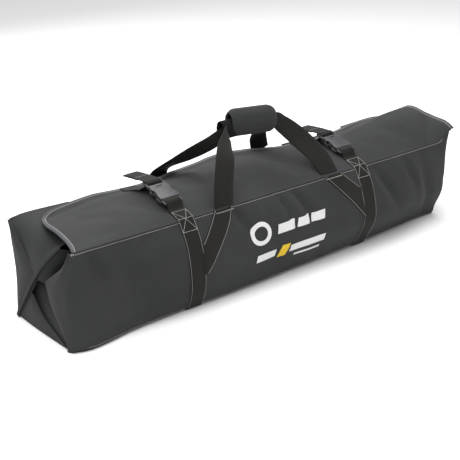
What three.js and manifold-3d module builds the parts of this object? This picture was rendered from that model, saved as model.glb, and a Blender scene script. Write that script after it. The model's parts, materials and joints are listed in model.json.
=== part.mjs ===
// Long box-shaped wrap carry bag: a soft fabric body with a hinged top flap, two webbing closure
// straps with side-release buckles and two webbing carry handles joined in a padded grip wrap.
// Millimetres. X runs along the bag, +Y to its back, +Z up. The origin is the middle of the base.
import * as THREE from 'three';
import { mergeVertices } from 'three/addons/utils/BufferGeometryUtils.js';
import Module from 'manifold-3d';

const wasm = await Module();
wasm.setup();

// ---- driving dimensions ----
const GAP = 0.5; // clearance between neighbouring pieces
const EASE = 2; // how far sewn webbing stands off the faceted panels
const HALF_LENGTH = 522; // half the length of the front, back and base panels
const HALF_WIDTH = 128; // half the depth of the base
const SEAM_Y = -124; // where the flap is sewn to the front panel
const SEAM_Z = 200;
const REAR_EDGE_Y = 124; // where the rear webbing comes over the top edge
const REAR_EDGE_Z = 200;
const SIDE_TOP = 196; // top edge of the front panel
const BULGE = 38; // how far the filled front and back stand out
const FABRIC = 3; // thickness of the padded shell
const LEFT_FOOT = 28; // the left end leans out by this at its foot
const RIGHT_LEAN = { foot: -16, top: 26 }; // the right end leans in at its foot, out at its top
const HEM_DROP = 4; // room between the flap and the rear hem under it
const FLAP_REAR = 95; // the flap's free edge, measured from the middle of the bag
const FLAP_LEFT = -515;
const FLAP_RIGHT = 548;
const FLAP_TAPER = 37; // how far each end of the flap swings in from the seam to the free edge
const STRAP_X = { left: -252, right: 238 }; // the closure straps
const STRAP_WIDTH = 38;
const WEBBING = 1.6; // thickness of one layer of webbing
const HANDLE_X = 152; // where the handles' legs are sewn on
const HANDLE_WIDTH = 50;
const HANDLE_THICKNESS = 2.4;
const GRIP = { x: -8, y: -36, z: 340, length: 138, halfDepth: 20, halfHeight: 31, wall: 5 };
const BUCKLE = { y: -73, z: 224.5, tilt: 18, width: 48, socket: 46, height: 12 };

const FABRIC_LOOK = { color: 0x2b2c2e, roughness: 0.85, metalness: 0 };
const WEBBING_LOOK = { color: 0x1d1c1a, roughness: 0.8, metalness: 0 };
const BINDING_LOOK = { color: 0x72757d, roughness: 0.8, metalness: 0 };
const PLASTIC_LOOK = { color: 0x2a2a2e, roughness: 0.4, metalness: 0 };

const bag = new THREE.Group();
bag.name = 'carry_bag';

function addPiece(name, geometry, look, parent = bag) {
  const mesh = new THREE.Mesh(geometry, new THREE.MeshStandardMaterial(look));
  mesh.name = name;
  parent.add(mesh);
  return mesh;
}

// ---- solids from sheets and bands ----

// A closed slab: rows of surface points, thickened downwards along the sheet's own normal.
function sheetSolid(rows, thickness) {
  const rowCount = rows.length;
  const columnCount = rows[0].length;
  const pointAt = (r, c) => rows[THREE.MathUtils.clamp(r, 0, rowCount - 1)][
    THREE.MathUtils.clamp(c, 0, columnCount - 1)];
  const positions = [];
  for (const side of [0, 1]) {
    for (let r = 0; r < rowCount; r += 1) {
      for (let c = 0; c < columnCount; c += 1) {
        const along = pointAt(r, c + 1).clone().sub(pointAt(r, c - 1));
        const across = pointAt(r + 1, c).clone().sub(pointAt(r - 1, c));
        const normal = along.cross(across).normalize();
        const point = rows[r][c].clone().addScaledVector(normal, -side * thickness);
        positions.push(point.x, point.y, point.z);
      }
    }
  }
  const index = [];
  const id = (side, r, c) => (side * rowCount + r) * columnCount + c;
  const quad = (a, b, c, d) => index.push(a, b, c, a, c, d);
  for (let r = 0; r < rowCount - 1; r += 1) {
    for (let c = 0; c < columnCount - 1; c += 1) {
      quad(id(0, r, c), id(0, r, c + 1), id(0, r + 1, c + 1), id(0, r + 1, c));
      quad(id(1, r, c), id(1, r + 1, c), id(1, r + 1, c + 1), id(1, r, c + 1));
    }
  }
  for (let c = 0; c < columnCount - 1; c += 1) {
    quad(id(0, 0, c), id(1, 0, c), id(1, 0, c + 1), id(0, 0, c + 1));
    const last = rowCount - 1;
    quad(id(0, last, c), id(0, last, c + 1), id(1, last, c + 1), id(1, last, c));
  }
  for (let r = 0; r < rowCount - 1; r += 1) {
    quad(id(0, r, 0), id(0, r + 1, 0), id(1, r + 1, 0), id(1, r, 0));
    const last = columnCount - 1;
    quad(id(0, r, last), id(1, r, last), id(1, r + 1, last), id(0, r + 1, last));
  }
  const geometry = new THREE.BufferGeometry();
  geometry.setAttribute('position', new THREE.Float32BufferAttribute(positions, 3));
  geometry.setIndex(index);
  return geometry;
}

// A band of webbing that follows a line of [y, z] points at one place along the bag. The points
// lie on its inner face, and the band's thickness is to the left of the line's direction.
function bandSolid(line, thickness, width, middleX) {
  const points = line.map(([y, z]) => new THREE.Vector2(y, z));
  const last = points.length - 1;
  const outer = points.map((point, n) => {
    const incoming = points[Math.max(n, 1)].clone().sub(points[Math.max(n - 1, 0)]).normalize();
    const outgoing = points[Math.min(n + 1, last)].clone().sub(points[Math.min(n, last - 1)]).normalize();
    const along = incoming.clone().add(outgoing).normalize();
    const left = new THREE.Vector2(-along.y, along.x);
    // a mitred corner reaches further than the thickness
    return point.clone().addScaledVector(left, thickness / incoming.dot(along));
  });
  const outline = new THREE.Shape([...points, ...outer.reverse()]);
  const geometry = new THREE.ExtrudeGeometry(outline, { depth: width, bevelEnabled: false });
  // the outline's x and y become the bag's y and z, and the extrusion runs along x
  geometry.applyMatrix4(new THREE.Matrix4().makeBasis(
    new THREE.Vector3(0, 1, 0), new THREE.Vector3(0, 0, 1), new THREE.Vector3(1, 0, 0)));
  geometry.translate(middleX - width / 2, 0, 0);
  return geometry;
}

function toManifold(geometry) {
  const plain = geometry.clone();
  plain.deleteAttribute('normal');
  plain.deleteAttribute('uv');
  const merged = mergeVertices(plain, 1e-4);
  return new wasm.Manifold(new wasm.Mesh({
    numProp: 3,
    vertProperties: new Float32Array(merged.attributes.position.array),
    triVerts: new Uint32Array(merged.index.array),
  }));
}

function fromManifold(solid) {
  const mesh = solid.getMesh();
  const geometry = new THREE.BufferGeometry();
  geometry.setAttribute('position', new THREE.BufferAttribute(mesh.vertProperties, 3));
  geometry.setIndex(new THREE.BufferAttribute(mesh.triVerts, 1));
  return geometry;
}

// A box between two corners.
function block([x0, y0, z0], [x1, y1, z1]) {
  const box = new THREE.BoxGeometry(x1 - x0, y1 - y0, z1 - z0);
  return box.translate((x0 + x1) / 2, (y0 + y1) / 2, (z0 + z1) / 2);
}

function blocks(joined, cut = []) {
  let solid = toManifold(block(...joined[0]));
  for (const corners of joined.slice(1)) {
    solid = solid.add(toManifold(block(...corners)));
  }
  for (const corners of cut) {
    solid = solid.subtract(toManifold(block(...corners)));
  }
  return fromManifold(solid);
}

// ---- the shape of the filled bag ----

// How full the bag is along its length: 1 in the middle, 0 at the ends.
function fullness(x) {
  return Math.max(1 - Math.abs(x / (HALF_LENGTH + 4)) ** 4, 0);
}

// How far the front or back stands out at a height, from the base's edge.
function sideBulge(x, z) {
  const t = THREE.MathUtils.clamp(z / SEAM_Z, 0, 1);
  return BULGE * fullness(x) * Math.sin(Math.PI * t ** 0.92) ** 0.8;
}

// Heights of the flap's top along the bag's middle line, evenly spaced over the bag's length.
const CROWN_REACH = 560;
const CROWN_CURVE = new THREE.SplineCurve(
  [203, 216, 228, 236, 228, 246, 256].map((z, n) => new THREE.Vector2(n, z)));

function crown(x) {
  return CROWN_CURVE.getPoint((x + CROWN_REACH) / (2 * CROWN_REACH)).y;
}

// The height of the flap's top face.
function flapTop(x, y) {
  const spread = Math.abs(y / SEAM_Y) ** 2.2;
  return SEAM_Z + (crown(x) - SEAM_Z) * Math.max(1 - spread, 0);
}

function range(from, to, count) {
  return Array.from({ length: count + 1 }, (_, n) => from + ((to - from) * n) / count);
}

// ---- shell ----

const SIDE_HEIGHTS = range(3, SIDE_TOP, 8);
const SIDE_COLUMNS = 18;

// Where the left (-1) or right (1) end of the panels stands at a height.
function endX(end, z) {
  const t = z / SEAM_Z;
  if (end < 0) {
    return -HALF_LENGTH - LEFT_FOOT * (1 - t);
  }
  return HALF_LENGTH + THREE.MathUtils.lerp(RIGHT_LEAN.foot, RIGHT_LEAN.top, t);
}

// Front (side -1) or back (side 1) panel, from the base to a top height.
function sidePanel(side, topExtension) {
  const columns = (z) => range(endX(side, z), endX(-side, z), SIDE_COLUMNS);
  const rows = SIDE_HEIGHTS.map((z) => columns(z).map((x) => (
    new THREE.Vector3(x, side * (HALF_WIDTH + GAP + sideBulge(x, z)), z))));
  for (const y of topExtension) {
    rows.push(columns(SEAM_Z).map((x) => (
      new THREE.Vector3(x, side * y, flapTop(x, y) - FABRIC - HEM_DROP))));
  }
  return sheetSolid(rows, FABRIC);
}

addPiece('front_panel', sidePanel(-1, []), FABRIC_LOOK);
// the back panel turns over the rear top edge and runs forward under the flap as a wide hem
addPiece('back_panel', sidePanel(1, [112, 85, 55, 30]), FABRIC_LOOK);

// The base, with a shallow channel across its underside for each closure strap.
function basePanel() {
  const channel = (x) => [
    [x - STRAP_WIDTH / 2 - GAP, -HALF_WIDTH, -1],
    [x + STRAP_WIDTH / 2 + GAP, HALF_WIDTH, WEBBING + 2 * GAP],
  ];
  return blocks(
    [[[endX(-1, 0), -HALF_WIDTH + FABRIC, 0], [endX(1, 0), HALF_WIDTH - FABRIC, 1.5 * FABRIC]]],
    [channel(STRAP_X.left), channel(STRAP_X.right)],
  );
}
addPiece('base_panel', basePanel(), FABRIC_LOOK);

// A folded end, drawn in at its middle as the gift-wrap folds draw it in.
function endPanel(side) {
  const foldDepth = 22;
  const standOff = FABRIC + EASE;
  const half = HALF_WIDTH - 4;
  const rows = range(0.8, SIDE_TOP - 1, 6).map((z) => range(-half, half, 6).map((y) => {
    const inward = (1 - Math.abs(y / half)) * (1 - Math.abs((2 * z) / SIDE_TOP - 1));
    return new THREE.Vector3(endX(side, z) + side * (standOff - foldDepth * inward), side * y, z);
  }));
  return sheetSolid(rows, FABRIC);
}
addPiece('left_end_panel', endPanel(-1), FABRIC_LOOK);
addPiece('right_end_panel', endPanel(1), FABRIC_LOOK);

// ---- flap ----

// Where the flap's left and right ends stand at a depth; the left rear corner is cut round.
function flapEnds(y) {
  const t = (y - SEAM_Y) / (FLAP_REAR - SEAM_Y);
  const round = 300 * Math.max(t - 0.78, 0) ** 1.4;
  return [FLAP_LEFT + FLAP_TAPER * t ** 1.3 + round, FLAP_RIGHT - FLAP_TAPER * t];
}

function flapRow(y) {
  const [left, right] = flapEnds(y);
  return range(left, right, 20).map((x) => new THREE.Vector3(x, y, flapTop(x, y)));
}

function topFlap() {
  return sheetSolid(range(SEAM_Y, FLAP_REAR, 9).map(flapRow), FABRIC);
}
addPiece('top_flap', topFlap(), FABRIC_LOOK);

// The flap's three free edges from above, each moved out by an offset.
function flapEdge(offset) {
  const rear = FLAP_REAR + offset;
  const depths = range(SEAM_Y + EASE, rear, 8);
  const ends = (y) => flapEnds(Math.min(y, FLAP_REAR));
  const left = depths.map((y) => [ends(y)[0] - offset, y]);
  const right = depths.map((y) => [ends(y)[1] + offset, y]).reverse();
  const back = range(left.at(-1)[0], right[0][0], 20).slice(1, -1).map((x) => [x, rear]);
  return [...left, ...back, ...right];
}

// Binding round the free edges: a flat rim just outside them.
function flapBinding() {
  const rimWidth = 7;
  const rimHeight = FABRIC + 1;
  const inner = flapEdge(EASE);
  const heights = inner.map(([x, y]) => flapTop(x, Math.min(y, FLAP_REAR)) + 0.5);
  const rows = [inner, flapEdge(EASE + rimWidth)].map((edge) => (
    edge.map(([x, y], n) => new THREE.Vector3(x, y, heights[n]))));
  return sheetSolid(rows, rimHeight);
}
addPiece('flap_binding', flapBinding(), BINDING_LOOK);

// ---- closure straps ----

// The sewn webbing from the front seam, down the front, under the base and up the back.
function strapWrap(x) {
  const sideLine = (side) => SIDE_HEIGHTS.slice(1).map((z) => [
    side * (HALF_WIDTH + EASE + sideBulge(x, z)), z]);
  const cornerY = HALF_WIDTH + EASE + sideBulge(x, SIDE_HEIGHTS[0]) + 1;
  const under = [[-cornerY, WEBBING + 0.2], [cornerY, WEBBING + 0.2]];
  const line = [...sideLine(-1).reverse(), ...under, ...sideLine(1)];
  return bandSolid(line, -WEBBING, STRAP_WIDTH, x);
}

// The loose front tab: two layers of webbing from the seam to the socket's bar.
function frontTab(x) {
  const line = [-119, -108, -97, -86].map((y) => [y, flapTop(x, y) + EASE]);
  return bandSolid(line, 2 * WEBBING, STRAP_WIDTH, x);
}

// The load webbing, from the plug's ladder back to the rear top edge.
function loadWebbing(x) {
  const line = [[-12, 235], [30, 233], [70, 227], [REAR_EDGE_Y - 20, 220], [REAR_EDGE_Y, 207]];
  return bandSolid(line, WEBBING, STRAP_WIDTH, x);
}

// The free tail: over the ladder's bar and back above the load webbing, ending in a sewn fold.
function strapTail(x) {
  const line = [[-14, 256.5], [6, 258.5], [30, 259], [58, 260]];
  return bandSolid(line, 2 * WEBBING, STRAP_WIDTH, x);
}

// ---- side-release buckles, drawn flat along +Y from the socket's webbing bar ----

function buckleSocket() {
  const { width, socket, height } = BUCKLE;
  const half = width / 2;
  const cavityHalf = 18;
  const cavityHeight = 6.4;
  const middle = height / 2;
  return blocks(
    [[[-half, 0, 0], [half, socket, height]],
      [[-half + 2, -13, 2], [half - 2, 1, 8]]],
    [
      [[-cavityHalf, 12, middle - cavityHeight / 2], [cavityHalf, socket + 1, middle + cavityHeight / 2]],
      [[-half - 1, 18, middle - cavityHeight / 2], [half + 1, 34, middle + cavityHeight / 2]],
      [[-20, -9, -1], [20, -3, height + 1]],
    ],
  );
}

function bucklePlug() {
  const { width, socket, height } = BUCKLE;
  const half = width / 2 - 2;
  const middle = height / 2;
  return blocks(
    [
      [[-half, socket + 0.6, 2], [half, socket + 6, height - 2]],
      [[-4, 15, middle - 2.5], [4, socket + 1, middle + 2.5]],
      [[-half, socket + 5, 3], [half, socket + 28, height - 3]],
    ],
    [
      [[-20, socket + 9, -1], [20, socket + 15, height]],
      [[-20, socket + 18.5, -1], [20, socket + 24.5, height]],
    ],
  );
}

// One springy arm of the plug, with the release button that shows in the socket's side window.
function plugArm(side) {
  const { socket, height } = BUCKLE;
  const middle = height / 2;
  const spans = [[10.5, 14.5, 17, socket], [14, 17.4, 19, 33], [17, 21.2, 20, 32]];
  const joined = spans.map(([x0, x1, y0, y1]) => [
    [Math.min(side * x0, side * x1), y0, middle - 2.6],
    [Math.max(side * x0, side * x1), y1, middle + 2.6]]);
  return blocks(joined);
}

function addBuckle(prefix, x) {
  const seat = new THREE.Group();
  seat.position.set(x, BUCKLE.y, BUCKLE.z);
  seat.rotation.x = THREE.MathUtils.degToRad(BUCKLE.tilt);
  bag.add(seat);
  addPiece(`${prefix}_buckle_socket`, buckleSocket(), PLASTIC_LOOK, seat);
  addPiece(`${prefix}_buckle_plug`, bucklePlug(), PLASTIC_LOOK, seat);
  addPiece(`${prefix}_plug_left_arm`, plugArm(-1), PLASTIC_LOOK, seat);
  addPiece(`${prefix}_plug_right_arm`, plugArm(1), PLASTIC_LOOK, seat);
}

for (const [prefix, x] of Object.entries(STRAP_X)) {
  addPiece(`${prefix}_strap_wrap`, strapWrap(x), WEBBING_LOOK);
  addPiece(`${prefix}_front_tab`, frontTab(x), WEBBING_LOOK);
  addPiece(`${prefix}_load_webbing`, loadWebbing(x), WEBBING_LOOK);
  addPiece(`${prefix}_strap_tail`, strapTail(x), WEBBING_LOOK);
  addBuckle(prefix, x);
}

// ---- handles ----

// A loop of webbing from one sewn leg, through the grip, to the other. Each stop is
// [x, y, z, width, turn], where turn leans the width from along the bag (0) to upright (90).
function handleLoop(stops, thickness) {
  const smooth = new THREE.CatmullRomCurve3(stops.map(([x, y, z]) => new THREE.Vector3(x, y, z)));
  const spread = new THREE.CatmullRomCurve3(stops.map(([, , , width, turn]) => (
    new THREE.Vector3(width, turn, 0))));
  const rows = range(0, 1, 30).map((t) => {
    const middle = smooth.getPoint(t);
    const { x: width, y: turn } = spread.getPoint(t);
    const angle = THREE.MathUtils.degToRad(turn);
    const across = new THREE.Vector3(Math.cos(angle), 0, Math.sin(angle));
    const along = smooth.getTangent(t);
    across.addScaledVector(along, -across.dot(along)).normalize();
    return [-0.5, 0.5].map((s) => middle.clone().addScaledVector(across, s * width));
  });
  return sheetSolid(rows, thickness);
}

const FOLDED = 26; // the webbing's width where it is folded double inside the grip

function handleStops(edgeY, edgeZ, gripY) {
  const reach = GRIP.length / 2 + 4;
  const leg = (side) => [
    [side * HANDLE_X, edgeY, edgeZ, HANDLE_WIDTH, 0],
    [side * (HANDLE_X - 8), edgeY * 0.94, edgeZ + 50, HANDLE_WIDTH, side * 12],
    [side * (HANDLE_X - 35), edgeY * 0.6 + gripY * 0.4, edgeZ + 100, HANDLE_WIDTH - 6, side * 38],
    [GRIP.x + side * (reach + 12), gripY, GRIP.z - 8, FOLDED + 2, side * 76],
    [GRIP.x + side * (reach - 14), gripY, GRIP.z, FOLDED, side * 90],
  ];
  return [leg(-1), leg(1).reverse()];
}

// The two legs and the stretch inside the grip are one band of webbing.
function handleWebbing(edgeY, edgeZ, gripY) {
  const [left, right] = handleStops(edgeY, edgeZ, gripY);
  const upright = right.map(([x, y, z, width, turn]) => [x, y, z, width, 180 - turn]);
  return handleLoop([...left, ...upright], HANDLE_THICKNESS);
}
const FRONT_GRIP_Y = GRIP.y - 5;
const REAR_GRIP_Y = GRIP.y + 6;
addPiece('front_handle_webbing', handleWebbing(SEAM_Y + 4, SEAM_Z + 8, FRONT_GRIP_Y), WEBBING_LOOK);
addPiece('rear_handle_webbing', handleWebbing(REAR_EDGE_Y + 6, REAR_EDGE_Z + 8, REAR_GRIP_Y), WEBBING_LOOK);

// The sewn end of each leg: it slants down the panel and runs under the closure strap's edge.
function sewnLeg(sideName, face) {
  const side = Math.sign(STRAP_X[sideName]);
  const strapEdge = Math.abs(STRAP_X[sideName]) - STRAP_WIDTH / 2 - EASE;
  const slope = { inner: 0.84, outer: 0.96 };
  const innerTop = HANDLE_X - HANDLE_WIDTH / 2 + 4;
  const outerTop = HANDLE_X + HANDLE_WIDTH / 2 + 4;
  const narrowest = 6;
  const length = (strapEdge - narrowest - innerTop) / slope.inner;
  const rows = range(0, length, 6).map((drop) => {
    const z = SIDE_TOP - 2 - drop;
    const inner = innerTop + slope.inner * drop;
    const outer = Math.min(outerTop + slope.outer * drop, strapEdge);
    const edges = side < 0 ? [-outer, -inner] : [inner, outer];
    return edges.map((x) => (
      new THREE.Vector3(x, face * (HALF_WIDTH + EASE + sideBulge(x, z) + WEBBING), z)));
  });
  return sheetSolid(face < 0 ? rows.reverse() : rows, WEBBING);
}
for (const [faceName, face] of [['front', -1], ['rear', 1]]) {
  for (const sideName of Object.keys(STRAP_X)) {
    addPiece(`${faceName}_${sideName}_sewn_leg`, sewnLeg(sideName, face), WEBBING_LOOK);
  }
}

// The grip wrap: two padded half shells round both webbings, open at the ends.
function gripHalf(side) {
  const { halfDepth, halfHeight, wall, length } = GRIP;
  const from = side > 0 ? -90 : 90;
  const arc = (depth, height, reverse) => {
    const angles = range(from + 1, from + 179, 14).map(THREE.MathUtils.degToRad);
    const points = angles.map((a) => new THREE.Vector2(depth * Math.cos(a), height * Math.sin(a)));
    return reverse ? points.reverse() : points;
  };
  const outline = new THREE.Shape([
    ...arc(halfDepth, halfHeight, false),
    ...arc(halfDepth - wall, halfHeight - wall, true)]);
  const geometry = new THREE.ExtrudeGeometry(outline, { depth: length, bevelEnabled: false });
  geometry.applyMatrix4(new THREE.Matrix4().makeBasis(
    new THREE.Vector3(0, 1, 0), new THREE.Vector3(0, 0, 1), new THREE.Vector3(1, 0, 0)));
  return geometry.translate(GRIP.x - length / 2, GRIP.y, GRIP.z);
}
addPiece('grip_pad', gripHalf(1), FABRIC_LOOK);
addPiece('grip_lid', gripHalf(-1), FABRIC_LOOK);

// The hook strip inside the lid that holds the wrap shut.
const hookStrip = block([-55, -0.8, -7], [55, 0.8, 7]);
hookStrip.translate(GRIP.x, GRIP.y - GRIP.halfDepth + GRIP.wall + 2, GRIP.z);
addPiece('grip_hook_strip', hookStrip, WEBBING_LOOK);

export default bag;
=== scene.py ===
"""A long wrap carry bag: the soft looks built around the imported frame. Metres, +X along the bag,
+Y to its back, +Z up, with the origin in the middle of the base."""

import json
import math
import random

import bpy
import numpy as np
from mathutils import Matrix, Vector, noise


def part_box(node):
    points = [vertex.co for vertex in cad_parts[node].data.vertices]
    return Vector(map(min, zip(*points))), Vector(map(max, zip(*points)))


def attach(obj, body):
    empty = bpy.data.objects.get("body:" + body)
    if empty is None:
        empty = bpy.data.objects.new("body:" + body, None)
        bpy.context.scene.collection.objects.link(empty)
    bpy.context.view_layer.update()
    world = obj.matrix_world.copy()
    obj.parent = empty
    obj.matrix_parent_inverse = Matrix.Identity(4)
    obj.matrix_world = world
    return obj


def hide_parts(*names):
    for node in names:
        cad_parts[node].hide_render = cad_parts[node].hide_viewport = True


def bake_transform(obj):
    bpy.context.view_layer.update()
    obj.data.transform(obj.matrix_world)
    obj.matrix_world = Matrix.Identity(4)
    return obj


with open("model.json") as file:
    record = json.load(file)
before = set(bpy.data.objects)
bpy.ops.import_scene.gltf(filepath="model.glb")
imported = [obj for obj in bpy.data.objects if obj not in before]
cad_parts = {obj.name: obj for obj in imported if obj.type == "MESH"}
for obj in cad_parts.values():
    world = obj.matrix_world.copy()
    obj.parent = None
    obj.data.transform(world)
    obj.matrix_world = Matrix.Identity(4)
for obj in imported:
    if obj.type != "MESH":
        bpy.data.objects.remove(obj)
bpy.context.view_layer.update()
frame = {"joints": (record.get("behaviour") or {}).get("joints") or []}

# ---- places and sizes read from the frame ----
PANEL_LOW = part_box("front_panel")[0]
WRAP_LOW, WRAP_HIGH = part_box("left_strap_wrap")
RIGHT_WRAP_LOW, RIGHT_WRAP_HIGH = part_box("right_strap_wrap")
FLAP_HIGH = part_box("top_flap")[1]
BASE_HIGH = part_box("base_panel")[1]
JOINTS = {joint["name"]: joint for joint in frame["joints"]}

LEFT_FOOT = 0.028  # the left end leans out by this at its foot
RIGHT_FOOT, RIGHT_TOP = -0.003, 0.026  # the right end leans in at its foot, out at its top
HALF_LENGTH = round(-PANEL_LOW[0] - LEFT_FOOT, 3)
HALF_WIDTH = BASE_HIGH[1] + 0.0035
SEAM_Y, SEAM_Z = JOINTS["flap_open"]["pos_m"][1:]
REAR_Y, REAR_Z = JOINTS["rear_handle_swing"]["pos_m"][1:]
STRAPS = {
    "left": (WRAP_LOW[0] + WRAP_HIGH[0]) / 2,
    "right": (RIGHT_WRAP_LOW[0] + RIGHT_WRAP_HIGH[0]) / 2,
}
STRAP_WIDTH = WRAP_HIGH[0] - WRAP_LOW[0]
FLAP_REAR = FLAP_HIGH[1]

# ---- sizes of the soft goods ----
FABRIC = 0.0024  # thickness of the shell's cloth
WEBBING = 0.0018  # thickness of one layer of webbing
BULGE = 0.037  # how far the filled front and back stand out
THREAD = 0.0017
STITCH_PITCH = 0.0052


def smooth(t):
    t = min(max(t, 0.0), 1.0)
    return t * t * (3 - 2 * t)


def lerp(a, b, t):
    return a + (b - a) * t


def spread(start, end, count):
    return [lerp(start, end, n / count) for n in range(count + 1)]


# ---- the filled bag's shape ----


def fullness(x):
    """1 in the middle of the bag, 0 at its ends, a little less under each strap."""
    pinch = sum(math.exp(-(((x - at) / 0.034) ** 2)) for at in STRAPS.values())
    return 1 - abs(x / (HALF_LENGTH + 0.004)) ** 4 - 0.07 * pinch


def side_bulge(x, z):
    t = min(max(z / SEAM_Z, 0.0), 1.0)
    return BULGE * max(fullness(x), 0) * math.sin(math.pi * t**0.92) ** 0.8


def curve(knots, x):
    """A smooth line through knots of (place, value)."""
    last = len(knots) - 1
    x = min(max(x, knots[0][0]), knots[-1][0])
    n = next(k for k in range(last) if x <= knots[k + 1][0])

    def slope(k):
        (x0, v0), (x1, v1) = knots[max(k - 1, 0)], knots[min(k + 1, last)]
        return (v1 - v0) / (x1 - x0)

    (x0, v0), (x1, v1) = knots[n], knots[n + 1]
    width = x1 - x0
    t = (x - x0) / width
    return ((2 * t**3 - 3 * t**2 + 1) * v0 + (3 * t**2 - 2 * t**3) * v1
            + (t**3 - 2 * t**2 + t) * width * slope(n) + (t**3 - t**2) * width * slope(n + 1))


# The flap's heights along the bag: over its middle line, and at its free rear edge.
CROWN = [(-0.56, 0.204), (-0.4, 0.217), (-0.25, 0.227), (-0.1, 0.234), (0.0, 0.238), (0.12, 0.233),
         (0.238, 0.226), (0.38, 0.243), (0.5, 0.26), (0.56, 0.255)]
REAR_EDGE = [(-0.56, 0.202), (-0.437, 0.206), (-0.353, 0.214), (-0.252, 0.209), (-0.135, 0.214),
             (0.0, 0.228), (0.055, 0.225), (0.217, 0.204), (0.374, 0.208), (0.442, 0.215),
             (0.516, 0.213), (0.56, 0.21)]

# How far the front panel's foot stands out beyond the base: it splays at the left end and is
# drawn in towards the right end.
FRONT_FOOT = [(-0.56, 0.014), (-0.52, 0.03), (-0.47, 0.026), (-0.4, 0.01), (-0.28, 0.003),
              (-0.15, 0.002), (0.12, -0.01), (0.24, -0.015), (0.46, -0.029), (0.56, -0.024)]
FOOT_HEIGHT = 0.085  # the splay fades out below this height


def end_lean(x, z):
    """The left end leans out at its foot, the right end at its top."""
    if x < 0:
        return -LEFT_FOOT * (1 - z / SEAM_Z)
    return lerp(RIGHT_FOOT, RIGHT_TOP, z / SEAM_Z)


def ripple(x, y, z, size, seed):
    return noise.noise(Vector((x, y, z)) / size + Vector((seed, seed * 0.7, 0)))


def seam_puckers(seed, count):
    """Short soft folds that hang from the seam: (x, length, lean, height, width) each."""
    draw = random.Random(seed)
    return [
        (
            lerp(-HALF_LENGTH, HALF_LENGTH, (n + draw.random()) / count),
            draw.uniform(0.03, 0.1),
            draw.uniform(-0.35, 0.35),
            draw.uniform(0.0006, 0.0022),
            draw.uniform(0.005, 0.011),
        )
        for n in range(count)
    ]


PUCKERS = {-1: seam_puckers(5, 34), 1: seam_puckers(9, 34)}

# Broad soft dents: middle, direction in degrees, half length, half width, depth.
DENT_SCALE = 1.3  # the front and back dents are deepened by this
FRONT_DENTS = [
    ((-0.125, 0.175), -62, 0.05, 0.011, 0.008),
    ((0.0, 0.165), -70, 0.045, 0.009, 0.007),
    ((0.045, 0.165), -65, 0.05, 0.009, 0.008),
    ((-0.35, 0.178), -80, 0.05, 0.016, 0.004),
    ((0.305, 0.14), -60, 0.055, 0.012, 0.009),
    ((-0.47, 0.15), -75, 0.06, 0.016, 0.009),
    ((0.45, 0.1), -75, 0.07, 0.018, 0.008),
    ((0.39, 0.15), -70, 0.05, 0.012, 0.006),
    ((-0.36, 0.07), 60, 0.06, 0.02, 0.004),
    ((-0.44, 0.06), 72, 0.09, 0.03, 0.007),
    ((-0.02, 0.05), -35, 0.08, 0.022, 0.004),
]
FLAP_DENTS = [
    ((-0.118, -0.02), -115, 0.075, 0.018, 0.008),
    ((0.07, -0.02), -80, 0.1, 0.03, 0.008),
    ((0.03, 0.07), -20, 0.08, 0.02, 0.004),
    ((0.3, 0.03), -100, 0.08, 0.03, 0.006),
    ((0.42, -0.09), -60, 0.06, 0.02, 0.005),
    ((0.505, -0.085), -125, 0.06, 0.012, 0.007),
    ((-0.3, -0.04), -70, 0.08, 0.03, 0.005),
    ((-0.42, -0.02), -110, 0.08, 0.03, 0.004),
]


def dent_depth(dents, a, b):
    depth = 0.0
    for (a0, b0), turn, long, wide, deep in dents:
        angle = math.radians(turn)
        along = (a - a0) * math.cos(angle) + (b - b0) * math.sin(angle)
        across = (b - b0) * math.cos(angle) - (a - a0) * math.sin(angle)
        depth += deep * math.exp(-((along / long) ** 2) - (across / wide) ** 2)
    return depth


def side_folds(x, z, side):
    """How far the front or back cloth stands out beyond the filled shape."""
    out = 0.0045 * ripple(x, side, z * 1.6, 0.14, 3 + side)
    out += 0.0021 * ripple(x, side, z * 0.8, 0.045, 8 + side)
    drop = SEAM_Z - z
    for at, length, lean, height, width in PUCKERS[side]:
        middle = at + lean * drop
        if abs(x - middle) < 3 * width:
            fade = smooth(1 - drop / length) * smooth(drop / 0.012)
            out += height * fade * math.exp(-(((x - middle) / width) ** 2))
    out -= DENT_SCALE * dent_depth(FRONT_DENTS, x if side < 0 else -x, z)
    return out * smooth(z / 0.03) * smooth((SEAM_Z + 0.004 - z) / 0.03)


SHOULDER = 0.15  # the sides roll in to the seam above this height


def half_width(z):
    return lerp(HALF_WIDTH, abs(SEAM_Y) + 0.0006, smooth((z - SHOULDER) / (SEAM_Z - SHOULDER)))


def side_y(x, z, side):
    out = half_width(z) + side_bulge(x, z) + side_folds(x, z, side)
    if side < 0:
        out += curve(FRONT_FOOT, x) * (1 - smooth(z / FOOT_HEIGHT))
    return side * out


def corner_climb(x):
    """The seam's right end climbs to the flap's raised corner."""
    return 0.021 * smooth((x - HALF_LENGTH + 0.02) / 0.045)


EDGE_CURL = 0.005  # the flap's free rear edge turns up by this


def flap_top(x, y):
    if y < 0:
        height = lerp(curve(CROWN, x), SEAM_Z, min(y / SEAM_Y, 1.0) ** 2.2)
        height += corner_climb(x) * smooth((-y - 0.06) / 0.064)
    else:
        drop = (y / FLAP_REAR) ** lerp(1.7, 1.1, smooth((x - 0.25) / 0.15))
        height = lerp(curve(CROWN, x), curve(REAR_EDGE, x) - EDGE_CURL, drop)
        height += EDGE_CURL * smooth((y - FLAP_REAR + 0.02) / 0.02)
    inside = smooth((y - SEAM_Y) / 0.04)
    height += inside * (0.0036 * ripple(x, y, 0, 0.12, 21) + 0.0016 * ripple(x, y, 0, 0.04, 33))
    return height - inside * dent_depth(FLAP_DENTS, x, y)


# ---- mesh making ----


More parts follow.
